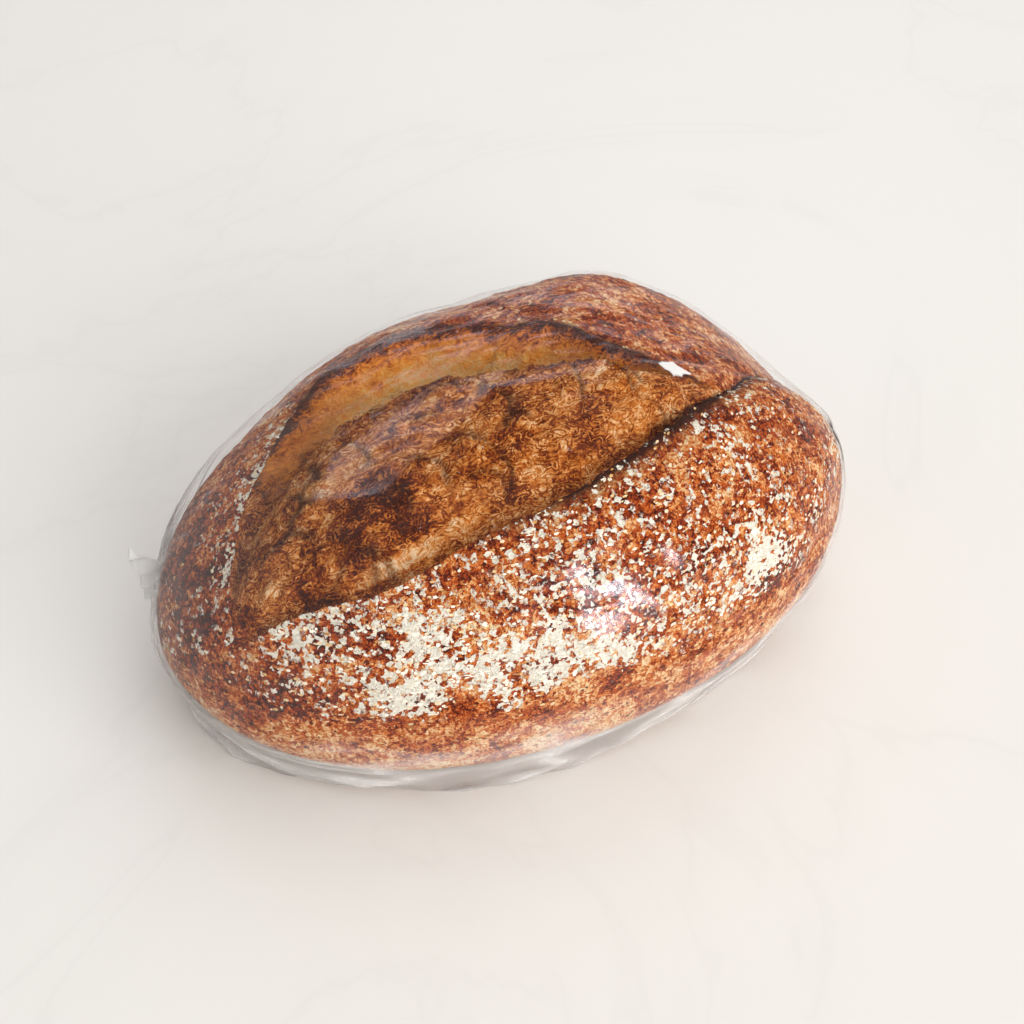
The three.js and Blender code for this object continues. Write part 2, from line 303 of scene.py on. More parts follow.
def body_at(share):
    """Places and normals of the smooth body, as arrays of y, z, normal y, normal z."""
    n = np.where(share < 0, near_fullness, far_fullness)
    width = np.where(share < 0, near_width, far_width)
    up = np.clip(1 - np.abs(share) ** n, 0, 1) ** (1 / n)
    ny = np.sign(share) * np.abs(share) ** (n - 1) / np.maximum(width, 1)
    nz = up ** (n - 1) / np.maximum(crown - foot, 1)
    size = np.maximum(np.hypot(ny, nz), 1e-9)
    return middle + share * width, foot + (crown - foot) * up, ny / size, nz / size


# Columns round each section: near crust, score, far crust, underside.
near_count, score_count, far_count, under_count = 72, 96, 66, 44
ragged = ramp(-112, -100, x) * ramp(82, 66, x)
lip = along(near_lip, x) + ragged * (0.008 * wobble(x, 6, 1) + 0.006 * wobble(x, 2.3, 2))
ear = along(far_lip, x) + ragged * (0.014 * wobble(x, 9, 3) + 0.010 * wobble(x, 3.1, 4))
ear = np.maximum(ear, lip + least_lip_gap)
near_turn = 1 - (1 - np.linspace(0, 1, near_count)[None, :]) ** lip_crowding
near_share = np.minimum(share_at(-math.pi / 2 + (angle_at(lip) + math.pi / 2) * near_turn), lip)
score_way = np.linspace(0, 1, score_count + 2)[None, 1:-1]
score_way = along(score_crowding, score_way)
score_share = lip + (ear - lip) * score_way
far_turn = np.linspace(0, 1, far_count)[None, :] ** ear_crowding
far_share = np.maximum(share_at(angle_at(ear) + (math.pi / 2 - angle_at(ear)) * far_turn), ear)
share = np.hstack([near_share, score_share, far_share])
near_crust = slice(0, near_count)
score = slice(near_count, near_count + score_count)
far_crust = slice(near_count + score_count, near_count + score_count + far_count)
y, z, normal_y, normal_z = body_at(share)
lip_y, lip_z = (v[:, near_count - 1:near_count] for v in (y, z))
ear_y, ear_z = (v[:, near_count + score_count:near_count + score_count + 1] for v in (y, z))

# How far the score is open, and how high its parts stand, along the loaf.
opened = ramp(-109, -98, x) * ramp(76, 56, x)
closing = ramp(56, 76, x)
ends = ramp(half_length, half_length - 12, np.abs(x))
lift = along(ear_lift, x) * (1 + 0.10 * wobble(x, 11, 5) + 0.10 * wobble(x, 3.3, 6))
groove = opened * (groove_depth + groove_right * ramp(15, 62, x)) * (1 + 0.25 * wobble(x, 7, 7))
crease = crease_depth * closing * ramp(114, 98, x)
belly = belly_rise * opened * ramp(-112, -60, x) * ramp(78, 30, x)
pocket = pocket_depth * opened * ramp(60, 25, x) * (0.45 + 0.55 * ramp(-85, -40, x))

# How far the surface stands out from the smooth body, and how far it leans over the score.
wide = np.broadcast_to(x, y.shape)
past_lip = np.hypot(y - lip_y, z - lip_z)
past_ear = np.hypot(y - ear_y, z - ear_z)
right_shoulder = np.exp(-((x - 58) / 28) ** 2 - ((y - 46) / 24) ** 2)
right_hollow = np.exp(-((x - 110) / 20) ** 2 - ((y - 15) / 20) ** 2)
left_hollow = np.exp(-((x + 76) / 22) ** 2 - ((y - 46) / 24) ** 2)
out = 7.2 * ends * right_shoulder - 10 * right_hollow - 1.2 * left_hollow
out = out - crease * np.exp(-((y - lip_y) / 4.5) ** 2)
over = np.zeros_like(y)
out[:, near_crust] += (1.2 * ends * (opened + closing) * np.exp(-past_lip / 9))[:, near_crust]
out[:, score] += (groove * along(groove_part, score_way) + belly * along(belly_part, score_way)
                  + pocket * along(pocket_part, score_way) + lift * along(lift_part, score_way))
over[:, score] = ear_overhang * np.minimum(lift / 8, 1) * along(over_part, score_way)
fading = past_ear / (ear_reach * (0.55 + 0.45 * ramp(-60, -5, x)))
out[:, far_crust] += (lift * np.exp(-fading ** 1.5))[:, far_crust]
over[:, far_crust] = (ear_overhang * np.minimum(lift / 8, 1) * np.exp(-past_ear / 8))[:, far_crust]
over[:, near_crust] -= (0.9 * opened * np.exp(-past_lip / 1.6))[:, near_crust]


def dent(at, size, depth):
    """A round hollow at a place seen from above."""
    return -depth * np.exp(-((wide - at[0]) / size) ** 2 - ((y - at[1]) / size) ** 2)


def torn_edge(centre, radius, start, end, height):
    """A lobe of torn skin seen from above: its height, and the painted shade that darkens the crack beyond
    its edge.
    """
    away = np.hypot(wide - centre[0], y - centre[1]) - radius + 1.5 * torn_wave
    turn = np.degrees(np.arctan2(y - centre[1], wide - centre[0]))
    window = ramp(start - 20, start + 15, turn) * ramp(end + 20, end - 15, turn)
    rise = np.where(away < 0, np.exp(away / (0.35 * radius)), -0.6 * np.exp(-away / 1.5))
    return height * window * rise, window * np.exp(-((away - 0.8) / 1.2) ** 2)


small_lobes = []
chance = random.Random(11)
for _ in range(small_lobe_count):
    spot = (chance.uniform(-88, 48), chance.uniform(-44, 26))
    facing = chance.gauss(35, 40)
    small_lobes.append((spot, chance.uniform(5, 11), facing - 45, facing + 45, chance.uniform(1.1, 2.4)))
across_score = np.zeros_like(y)
across_score[:, score] = score_way
in_score = np.zeros_like(y)
in_score[:, score] = opened
points = np.stack([wide, y, z], -1).reshape(-1, 3)
torn_wave = lumps(points, 7, 16, 2).reshape(y.shape)
detail = sum(dent(*hole) for hole in gas_holes)
# Painted shade: how dark the cracks beyond the lobes' raised edges are painted, as if the edges shaded them.
torn_gap_shade = np.zeros_like(y)
for centre, radius, start, end, height in torn_lobes + small_lobes:
    lobe, gap_shade = torn_edge(centre, radius, start, end, height)
    detail += lobe
    torn_gap_shade += gap_shade * min(height / 1.8, 1)
torn_gap_shade *= ramp(0.78, 0.6, across_score)

# The belly's highest swelling, near its left end, which browned most.
mound = np.exp(-(((wide + 57) / 23) ** 2 + ((y + 30 - 0.12 * (wide + 57)) / 12) ** 2) ** 1.5)
detail += 2.6 * mound
out += in_score * detail

# Lumps all over, blisters on the crust, and torn strands that stand highest at the belly's far edge.
broad = lumps(points, 38, 11, 2).reshape(y.shape)
coarse = lumps(points, 11, 12, 3).reshape(y.shape)
fine = lumps(points, 3.6, 13, 3).reshape(y.shape)
strands = lumps(points, np.array([9, 2.4, 6]), 14, 3).reshape(y.shape)
torn_edge_share = np.exp(-((across_score - 0.66) / 0.09) ** 2)
out += ends * (broad + 0.45 * coarse)
out += (1 - in_score) * 0.34 * fine * ends
out += in_score * ((1 + 1.3 * torn_edge_share) * strands + 0.6 * coarse + 0.55 * fine)
y += normal_y * out - normal_z * over
z += normal_z * out + normal_y * over

# The underside, pressed flat where the loaf lay on the baking stone.
under_turn = np.linspace(math.pi / 2, -math.pi / 2, under_count + 2)[None, 1:-1]
side = np.sin(under_turn)
under_width = np.where(side < 0, near_width, far_width)
under_y = middle + np.sign(side) * np.abs(side) ** (2 / near_fullness) * under_width
depth = (foot - under) * (1 + rest_flattening / foot_height)
under_z = np.maximum(foot - depth * np.cos(under_turn) ** (2 / near_fullness), 0)
under_points = np.stack([np.broadcast_to(x, under_y.shape), under_y, under_z], -1).reshape(-1, 3)
under_lumps = lumps(under_points, 9, 15, 3).reshape(under_y.shape)
under_z += 0.35 * under_lumps * ramp(0.3, 5, under_z)

section_y = np.hstack([y, under_y])
section_z = np.hstack([z, under_z])
section_x = np.broadcast_to(x, section_y.shape)
columns = section_y.shape[1]
own_middle_y = (section_y.min() + section_y.max()) / 2 * MM
loaf_shift = np.array([loaf_middle[0], loaf_middle[1] - own_middle_y, loaf_low[2]])
grid = np.stack([section_x, section_y, section_z], -1) * MM + loaf_shift
tip_place = (end_bow * (1 - bow_share) * MM, (foot_height + foot_rise) * MM)
tips = np.array([[-half_length * MM, *tip_place], [half_length * MM, *tip_place]])
vertices = np.vstack([grid.reshape(-1, 3), tips + loaf_shift])
across = np.arange(columns)
beside = (across + 1) % columns
rows = np.arange(station_count - 1)[:, None] * columns
quads = np.stack([rows + across, rows + columns + across, rows + columns + beside, rows + beside], -1)
first, last = station_count * columns, (station_count - 1) * columns
fans = [(first, int(a), int(b)) for a, b in zip(across, beside)]
fans += [(first + 1, int(last + b), int(last + a)) for a, b in zip(across, beside)]
loaf_mesh = bpy.data.meshes.new("baked_loaf")
loaf_mesh.from_pydata(vertices.tolist(), [], quads.reshape(-1, 4).tolist() + fans)
loaf_mesh.shade_smooth()
baked_loaf = placed(bpy.data.objects.new("baked_loaf", loaf_mesh))


def point_values(mesh, name, values):
    """Keeps one number for each point of a mesh, for a material or a node tree to read."""
    kept = mesh.attributes.new(name, "FLOAT", "POINT")
    kept.data.foreach_set("value", np.ascontiguousarray(values, np.float32))


def on_sections(top, bottom=0.0):
    """Values on the top columns and a number on the underside, as one list for the loaf's points."""
    low = np.broadcast_to(bottom, under_y.shape)
    return np.concatenate([np.hstack([np.broadcast_to(top, y.shape), low]).ravel(), [0, 0]])


def blob(at, size):
    """A soft round patch round a place on the loaf, 1 at its centre."""
    return np.exp(-((wide - at[0]) ** 2 + (y - at[1]) ** 2 + (z - at[2]) ** 2) / size ** 2)


# How far up the score's wall a point is, from its foot to the ear.
wall_foot = 0.78
wall_up = np.clip((across_score - wall_foot) / (1 - wall_foot), 0, 1) * ramp(0.3, 1.5, lift)
near_band = np.zeros_like(y)
near_band[:, near_crust] = 1
far_band = np.zeros_like(y)
far_band[:, far_crust] = 1

# Flour: thick in the basket's patches, thin at the foot, the right end and beside the near lip.
flour = 0.27 + 0.2 * broad + 0.12 * coarse
for at, size, amount in flour_patches:
    flour += amount * blob(at, size) * (1 + 0.8 * coarse)
flour *= near_band * ramp(36, 50, z + 6 * coarse + 4 * broad)
flour *= 1 - 0.55 * ramp(62, 95, wide) * ramp(56, 66, z)
flour *= 1 - 0.7 * np.exp(-past_lip / 4) * ramp(-30, 20, wide)
flour *= 1 - 0.5 * ramp(-92, -112, wide)
flour += far_band * ramp(-50, -70, wide) * np.exp(-past_ear / 12) * (0.45 + 0.5 * coarse)
flour += 0.05 * near_band * ramp(36, 24, z) + 0.03 * far_band

# Char along both lips, a pale strip beside the near lip, cream on the wall, what browned most on the
# belly, and painted shade on the crust of the left end, the side away from the light.
char = (near_band * np.exp(-past_lip / 3) * ramp(-60, 30, wide) * (opened + closing) * ramp(125, 75, wide)
        + far_band * np.exp(-past_ear / 2.2) * np.minimum(lift / 4, 1) * ramp(58, 40, wide))
strip = in_score * ramp(0.045, 0.062, across_score) * ramp(0.122, 0.1, across_score + 0.012 * coarse)
strip *= ramp(-76, -66, wide) * ramp(-28, -42, wide)
cream = in_score * ramp(-62, -40, wide) * ramp(58, 40, wide)
# The belly's mound, which browned most, and painted shade that darkens the crust of the left end.
toast_and_shade = in_score * np.clip(mound * 1.3, 0, 1) + (1 - in_score) * 0.9 * ramp(-72, -104, wide)
point_values(loaf_mesh, "in_score", on_sections(in_score))
point_values(loaf_mesh, "wall_up", on_sections(wall_up * in_score))
point_values(loaf_mesh, "cream", on_sections(cream))
point_values(loaf_mesh, "flour", on_sections(np.clip(flour, 0, 1)))
point_values(loaf_mesh, "char", on_sections(np.clip(char, 0, 1)))
point_values(loaf_mesh, "strip", on_sections(strip))
point_values(loaf_mesh, "toast_and_shade", on_sections(toast_and_shade))
# The torn attribute carries the painted shade in the cracks beyond the torn lobes.
point_values(loaf_mesh, "torn", on_sections(in_score * np.clip(torn_gap_shade, 0, 1)))
point_values(loaf_mesh, "foot", on_sections(ramp(44, 26, z) * near_band, 1.0))

# Baked wheat crust: dry and dull, with curls and flecks of bran a millimetre or two across. It runs
# from cream in the score's wall through orange and red-brown to nearly black at the lips. Flour lies
# on it in angular flecks that join where the basket dusted it thickly, and is rougher than the crust.
crust, tree = new_material("baked_wheat_crust")
place = add(tree, "ShaderNodeTexCoord", "Object")
values = {name: add(tree, "ShaderNodeAttribute", "Fac", attribute_name=name)
          for name in ("in_score", "wall_up", "cream", "flour", "char", "strip", "toast_and_shade", "torn", "foot")}


def per_mm(size):
    """Texture scale for a pattern of the given size in millimetres."""
    return 1 / (size * MM)


patches = add(tree, "ShaderNodeTexNoise", 0, {
    "Vector": place, "Scale": per_mm(13), "Detail": 3, "Roughness": 0.6})
curls = add(tree, "ShaderNodeTexNoise", 0, {
    "Vector": place, "Scale": per_mm(1.9), "Detail": 3, "Roughness": 0.6, "Distortion": 2.2})
grain = add(tree, "ShaderNodeTexNoise", 0, {
    "Vector": place, "Scale": per_mm(0.9), "Detail": 3, "Roughness": 0.7})
warp = add(tree, "ShaderNodeTexNoise", 1, {"Vector": place, "Scale": per_mm(1.6), "Detail": 2})
warped = add(tree, "ShaderNodeVectorMath", 0, {0: warp, 1: (1.6 * MM, 1.6 * MM, 1.6 * MM)},
             operation="MULTIPLY")
warped = add(tree, "ShaderNodeVectorMath", 0, {0: place, 1: warped}, operation="ADD")
bran = add(tree, "ShaderNodeTexVoronoi", 1, {"Vector": warped, "Scale": per_mm(1.5)}, distance="MANHATTAN")
bran_pick = add(tree, "ShaderNodeSeparateColor", 0, {0: bran})

# Fine curling strands of dough, under a millimetre across, drawn out along the loaf.
drawn_out = add(tree, "ShaderNodeMapping", 0, {
    "Vector": place, "Rotation": (0, 0, -0.4), "Scale": (0.62, 1, 1)})
strand = add(tree, "ShaderNodeTexNoise", 0, {
    "Vector": drawn_out, "Scale": per_mm(2.9), "Detail": 1.5, "Roughness": 0.6, "Distortion": 0.7})
strands_per_swirl = 36.0
strand = add(tree, "ShaderNodeMath", 0, {0: strand, 1: strands_per_swirl}, operation="MULTIPLY")
strand = add(tree, "ShaderNodeMath", 0, {0: strand}, operation="SINE")

# The crust's tone: curls, bran and broad patches together, paler at the foot, darker with painted
# shade at the left end.
bran_tone = add(tree, "ShaderNodeMath", 0, {0: bran_pick, 1: 0.34, 2: -0.17}, operation="MULTIPLY_ADD")
patch_tone = add(tree, "ShaderNodeMath", 0, {0: patches, 1: 1.0, 2: -0.5}, operation="MULTIPLY_ADD")
crust_tone = add(tree, "ShaderNodeMath", 0, {0: curls, 1: bran_tone}, operation="ADD")
crust_tone = add(tree, "ShaderNodeMath", 0, {0: crust_tone, 1: patch_tone}, operation="ADD")
crust_tone = add(tree, "ShaderNodeMath", 0, {0: strand, 1: 0.06, 2: crust_tone}, operation="MULTIPLY_ADD")
crust_tone = add(tree, "ShaderNodeMath", 0, {0: values["foot"], 1: 0.14, 2: crust_tone},
                 operation="MULTIPLY_ADD")
crust_tone = add(tree, "ShaderNodeMath", 0, {0: values["toast_and_shade"], 1: -0.1, 2: crust_tone},
                 operation="MULTIPLY_ADD")
crust_colour = add(tree, "ShaderNodeValToRGB", 0, {0: crust_tone}, stops=[
    (0.22, "#3E1408"), (0.36, "#7C280B"), (0.48, "#B04716"), (0.59, "#CF702C"), (0.7, "#E29F60"),
    (0.86, "#F3D5A8")])

# The belly's tone: drawn-out tears between the curls, with painted shade in the cracks beyond the edges of
# its torn skin.
stretched = add(tree, "ShaderNodeMapping", 0, {"Vector": warped, "Scale": (0.35, 1, 0.7)})
tears = add(tree, "ShaderNodeTexNoise", 0, {
    "Vector": stretched, "Scale": per_mm(2.6), "Detail": 5, "Roughness": 0.65, "Distortion": 0.8})
belly_tone = add(tree, "ShaderNodeMix", 0, {0: 0.5, 2: curls, 3: tears}, data_type="FLOAT")
belly_tone = add(tree, "ShaderNodeMath", 0, {0: patch_tone, 1: 0.7, 2: belly_tone},
                 operation="MULTIPLY_ADD")
strand_depth = add(tree, "ShaderNodeMapRange", 0, {0: tears, 1: 0.35, 2: 0.65, 3: 0.03, 4: 0.15})
belly_tone = add(tree, "ShaderNodeMath", 0, {0: strand, 1: strand_depth, 2: belly_tone},
                 operation="MULTIPLY_ADD")
belly_tone = add(tree, "ShaderNodeMath", 0, {0: values["toast_and_shade"], 1: -0.12, 2: belly_tone},
                 operation="MULTIPLY_ADD")
belly_tone = add(tree, "ShaderNodeMath", 0, {0: values["strip"], 1: 0.17, 2: belly_tone},
                 operation="MULTIPLY_ADD")
belly_colour = add(tree, "ShaderNodeValToRGB", 0, {0: belly_tone}, stops=[
    (0.3, "#43180A"), (0.41, "#82370F"), (0.49, "#B46220"), (0.57, "#CC803A"), (0.66, "#DEA46A"),
    (0.78, "#ECC8A0")])
# Painted shade in the cracks beyond the edges of the torn skin.
painted_shade_amount = add(tree, "ShaderNodeMath", 0, {0: values["torn"], 1: 0.75}, operation="MULTIPLY")
belly_colour = add(tree, "ShaderNodeMix", 2, {0: painted_shade_amount, 6: belly_colour, 7: linear("#3D180A")},
                   data_type="RGBA")

# The wall's bands run from its dark foot, which is painted shade in the pocket under the ear,
# through cream and orange to the burnt ear above them.
wall_wave = add(tree, "ShaderNodeTexNoise", 0, {
    "Vector": place, "Scale": per_mm(5), "Detail": 5, "Roughness": 0.7})
wall_place = add(tree, "ShaderNodeMix", 0, {0: 0.5, 2: wall_wave, 3: tears}, data_type="FLOAT")
wall_place = add(tree, "ShaderNodeMath", 0, {0: wall_place, 1: 1.1, 2: -0.55}, operation="MULTIPLY_ADD")
wall_place = add(tree, "ShaderNodeMath", 0, {0: strand, 1: 0.09, 2: wall_place}, operation="MULTIPLY_ADD")
wall_place = add(tree, "ShaderNodeMath", 0, {0: wall_place, 1: values["wall_up"]}, operation="ADD")
cream_wall = add(tree, "ShaderNodeValToRGB", 0, {0: wall_place}, stops=[
    (0.0, "#6A300E"), (0.14, "#B06A2C"), (0.27, "#EABC76"), (0.41, "#EEAE58"), (0.55, "#F09A34"),
    (0.72, "#D87420"), (0.85, "#7C320C"), (0.97, "#421707")])
brown_wall = add(tree, "ShaderNodeValToRGB", 0, {0: wall_place}, stops=[
    (0.0, "#3E1A0A"), (0.2, "#A65A1C"), (0.42, "#D6852C"), (0.6, "#BE6818"), (0.8, "#5E280C"),
    (1.0, "#3A1407")])
wall_colour = add(tree, "ShaderNodeMix", 2, {0: values["cream"], 6: brown_wall, 7: cream_wall},
                  data_type="RGBA")
on_wall = add(tree, "ShaderNodeMapRange", 0, {0: values["wall_up"], 1: 0.02, 2: 0.14})
belly_colour = add(tree, "ShaderNodeMix", 2, {0: on_wall, 6: belly_colour, 7: wall_colour}, data_type="RGBA")
loaf_colour = add(tree, "ShaderNodeMix", 2, {0: values["in_score"], 6: crust_colour, 7: belly_colour},
                  data_type="RGBA")
char_amount = add(tree, "ShaderNodeMath", 0, {0: values["char"], 1: curls, 2: values["char"]},
                  operation="MULTIPLY_ADD", use_clamp=True)
loaf_colour = add(tree, "ShaderNodeMix", 2, {0: char_amount, 6: loaf_colour, 7: linear("#37170B")},
                  data_type="RGBA")

# Flour shows where a fleck's own chance and fine dust rise above the level for that place. Its single
# grains are too fine to show, so it is drawn in clotted flecks 1.6 mm across.
flecks = add(tree, "ShaderNodeTexVoronoi", 1, {"Vector": warped, "Scale": per_mm(1.6)}, distance="MANHATTAN")
fleck_pick = add(tree, "ShaderNodeSeparateColor", 1, {0: flecks})
dust = add(tree, "ShaderNodeTexNoise", 0, {
    "Vector": place, "Scale": per_mm(4), "Detail": 7, "Roughness": 0.8})
fleck_field = add(tree, "ShaderNodeMix", 0, {0: 0.42, 2: fleck_pick, 3: dust}, data_type="FLOAT")
flour_level = add(tree, "ShaderNodeMath", 0, {0: values["flour"], 1: -0.58, 2: 0.83},
                  operation="MULTIPLY_ADD")
flour_edge = add(tree, "ShaderNodeMath", 0, {0: fleck_field, 1: flour_level}, operation="SUBTRACT")
flour_edge = add(tree, "ShaderNodeMath", 0, {0: grain, 1: 0.3, 2: flour_edge}, operation="MULTIPLY_ADD")
flour_mask = add(tree, "ShaderNodeMapRange", 0, {0: flour_edge, 1: 0.15, 2: 0.2})
flour_colour = add(tree, "ShaderNodeValToRGB", 0, {0: grain}, stops=[(0.3, "#DED0B4"), (0.55, "#F3EDE0")])
loaf_colour = add(tree, "ShaderNodeMix", 2, {0: flour_mask, 6: loaf_colour, 7: flour_colour},
                  data_type="RGBA")

relief = add(tree, "ShaderNodeMath", 0, {0: curls, 1: 1.6, 2: grain}, operation="MULTIPLY_ADD")
relief = add(tree, "ShaderNodeMath", 0, {0: bran_pick, 1: 0.4, 2: relief}, operation="MULTIPLY_ADD")
relief = add(tree, "ShaderNodeMath", 0, {0: strand, 1: 0.22, 2: relief}, operation="MULTIPLY_ADD")
relief = add(tree, "ShaderNodeMath", 0, {0: flour_mask, 1: 0.35, 2: relief}, operation="MULTIPLY_ADD")
bump = add(tree, "ShaderNodeBump", 0, {"Height": relief, "Distance": 0.8 * MM, "Strength": 0.9})
gloss = add(tree, "ShaderNodeMapRange", 0, {0: flour_mask, 3: 0.55, 4: 0.95})
crust_shader = add(tree, "ShaderNodeBsdfPrincipled", 0, {
    "Base Color": loaf_colour, "Roughness": gloss, "Normal": bump, "Specular IOR Level": 0.04})
add(tree, "ShaderNodeOutputMaterial", 0, {"Surface": crust_shader})
loaf_mesh.materials.append(crust)
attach(baked_loaf, "root")
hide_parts("loaf")

# ---------------------------------------------------------------------------------------------
# The bran and flour flakes: thin scales of bran and clots of flour left on the crust by the proving
# basket. They are baked on, thickest on the near side and the foot.
# ---------------------------------------------------------------------------------------------

flake_share = (near_band * (0.35 * ramp(14, 24, z) + np.clip(flour, 0, 0.7))
               + far_band * (0.2 + np.clip(flour, 0, 0.5)))
point_values(loaf_mesh, "flake_share", on_sections(np.clip(flake_share, 0, 1)))
point_values(loaf_mesh, "flake_pale", on_sections(np.clip(0.05 + 0.9 * flour, 0, 0.8)))

scatter = bpy.data.node_groups.new("flake_scatter", "GeometryNodeTree")
for label, kind in (("Loaf", "Object"), ("Flakes per square metre", "Float"), ("Length", "Float"),
                    ("Seed", "Int"), ("Finish", "Material")):
    scatter.interface.new_socket(name=label, in_out="INPUT", socket_type="NodeSocket" + kind)
scatter.interface.new_socket(name="Geometry", in_out="OUTPUT", socket_type="NodeSocketGeometry")
given = add(scatter, "NodeGroupInput").node
surface = add(scatter, "GeometryNodeObjectInfo", "Geometry", {"Object": given.outputs["Loaf"]})
share_here = add(scatter, "GeometryNodeInputNamedAttribute", "Attribute", {"Name": "flake_share"},
                 data_type="FLOAT")
pale_here = add(scatter, "GeometryNodeInputNamedAttribute", "Attribute", {"Name": "flake_pale"},
                data_type="FLOAT")
per_area = add(scatter, "ShaderNodeMath", 0, {0: share_here, 1: given.outputs["Flakes per square metre"]},
               operation="MULTIPLY")
spots = add(scatter, "GeometryNodeDistributePointsOnFaces", "Points", {
    "Mesh": surface, "Density": per_area, "Seed": given.outputs["Seed"]}).node
spin = add(scatter, "FunctionNodeRandomValue", 1, {2: 0.0, 3: math.tau, "Seed": 4}, data_type="FLOAT")
spin_turn = add(scatter, "ShaderNodeCombineXYZ", 0, {2: spin})
turned = add(scatter, "FunctionNodeRotateEuler", 0, {0: spots.outputs["Rotation"], 2: spin_turn},
             space="LOCAL")
flake_size = add(scatter, "FunctionNodeRandomValue", 0, {
    0: (0.3, 0.2, 0.15), 1: (1.3, 0.8, 0.5), "Seed": 5}, data_type="FLOAT_VECTOR")
flake = add(scatter, "GeometryNodeMeshCylinder", "Mesh", {
    "Radius": given.outputs["Length"], "Depth": given.outputs["Length"], "Vertices": 5})
flakes = add(scatter, "GeometryNodeInstanceOnPoints", 0, {
    "Points": spots.outputs["Points"], "Instance": flake, "Rotation": turned, "Scale": flake_size})
paleness = add(scatter, "FunctionNodeRandomValue", 1, {2: -0.35, 3: 0.35, "Seed": 6}, data_type="FLOAT")
paleness = add(scatter, "ShaderNodeMath", 0, {0: paleness, 1: pale_here}, operation="ADD")
flakes = add(scatter, "GeometryNodeStoreNamedAttribute", 0, {
    "Geometry": flakes, "Name": "paleness", "Value": paleness}, data_type="FLOAT", domain="INSTANCE")
flakes = add(scatter, "GeometryNodeRealizeInstances", 0, {"Geometry": flakes})
flakes = add(scatter, "GeometryNodeSetMaterial", 0, {"Geometry": flakes, "Material": given.outputs["Finish"]})
add(scatter, "NodeGroupOutput", 0, {"Geometry": flakes})

# Dry bran and flour: dull, from red-brown bran through straw to off-white where flour clots.
flake_finish, tree = new_material("dry_bran_and_flour")
flake_tone = add(tree, "ShaderNodeAttribute", "Fac", attribute_name="paleness")
place = add(tree, "ShaderNodeTexCoord", "Object")
flake_grain = add(tree, "ShaderNodeTexNoise", 0, {"Vector": place, "Scale": per_mm(0.8), "Detail": 2})
flake_tone = add(tree, "ShaderNodeMath", 0, {0: flake_grain, 1: 0.4, 2: flake_tone}, operation="MULTIPLY_ADD")
flake_colour = add(tree, "ShaderNodeValToRGB", 0, {0: flake_tone}, stops=[
    (0.05, "#5E2A12"), (0.25, "#9A4F20"), (0.42, "#C58C4C"), (0.6, "#E2C596"), (0.8, "#F4EDDD")])
flake_bump = add(tree, "ShaderNodeBump", 0, {"Height": flake_grain, "Distance": 0.3 * MM, "Strength": 0.5})
flake_shader = add(tree, "ShaderNodeBsdfPrincipled", 0, {
    "Base Color": flake_colour, "Roughness": 0.85, "Normal": flake_bump, "Specular IOR Level": 0.08})
add(tree, "ShaderNodeOutputMaterial", 0, {"Surface": flake_shader})

maker = placed(bpy.data.objects.new("flake_maker", bpy.data.meshes.new("flake_maker")))
made_by = maker.modifiers.new("scatter", "NODES")
made_by.node_group = scatter
flake_inputs = {"Loaf": baked_loaf, "Flakes per square metre": 160000.0, "Length": 0.8 * MM, "Seed": 7,
                "Finish": flake_finish}
for item in scatter.interface.items_tree:
    if item.in_out == "INPUT":
        made_by[item.identifier] = flake_inputs[item.name]
scattered = maker.evaluated_get(bpy.context.evaluated_depsgraph_get())
flake_mesh = bpy.data.meshes.new_from_object(scattered)
flake_mesh.name = "bran_flakes"
bpy.data.objects.remove(maker)
bran_flakes = placed(bpy.data.objects.new("bran_flakes", flake_mesh))
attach(bran_flakes, "root")

# ---------------------------------------------------------------------------------------------
# The clear bag: a tube of thin plastic film, sealed at the right end, drawn tight over the loaf and
# gathered into a ruffled tail at the left end. It lies close to the high places, bridges the hollows,
# and stands on the table round the loaf in folds.
# ---------------------------------------------------------------------------------------------

ring_count, fold_count, tail_count = 150, 240, 9
first_ring, last_ring, ring_crowding = 0.035, 0.004, 1.08
# Where the painted glint sits on the film: a milky patch near the ear that stands in for a bright reflection.
glint_place = loaf_shift + np.array([53, -12, 93]) * MM
footprint_share = 0.925 - 0.03 * ramp(-20, 60, x)
film_gap, film_thickness, table_clearance = 1.3 * MM, 0.15 * MM, 0.25 * MM
heart_height = 45 * MM
heart = Vector((loaf_middle[0], loaf_middle[1], heart_height))
gather = Vector((-0.967, 0.232, -0.1)).normalized()
gather_side = gather.cross(Vector((0, 0, 1))).normalized()
gather_up = gather_side.cross(gather)

# The tightest wrap round the loaf and its footprint, which the film then follows with a little slack.
wrap = bmesh.new()
for spot in grid[::5, ::5].reshape(-1, 3):
    wrap.verts.new(spot)
for half_width in (-near_width, far_width):
    rim = np.stack([x, middle + half_width, 0 * x], -1)[:, 0] * footprint_share * MM
    for spot in rim + loaf_shift * (1, 1, 0):
        wrap.verts.new(spot)
bmesh.ops.convex_hull(wrap, input=wrap.verts)
wrap_tree = BVHTree.FromBMesh(wrap)
wrap.free()

# Rings of film from the gathered end to the sealed one, by their turn away from the gather.
turned_by = math.pi - first_ring - last_ring
away = first_ring + turned_by * np.linspace(0, 1, ring_count) ** ring_crowding
turn = np.linspace(0, 2 * math.pi, fold_count, endpoint=False)
directions = (np.cos(away)[:, None, None] * np.array(gather)
              + np.sin(away)[:, None, None] * (np.cos(turn)[:, None] * np.array(gather_side)
                                               + np.sin(turn)[:, None] * np.array(gather_up)))
reach_out = np.array([[wrap_tree.ray_cast(heart, Vector(d))[3] for d in ring] for ring in directions])
film = np.array(heart) + directions * (reach_out + film_gap)[..., None]
film_mm = (film / MM).reshape(-1, 3)

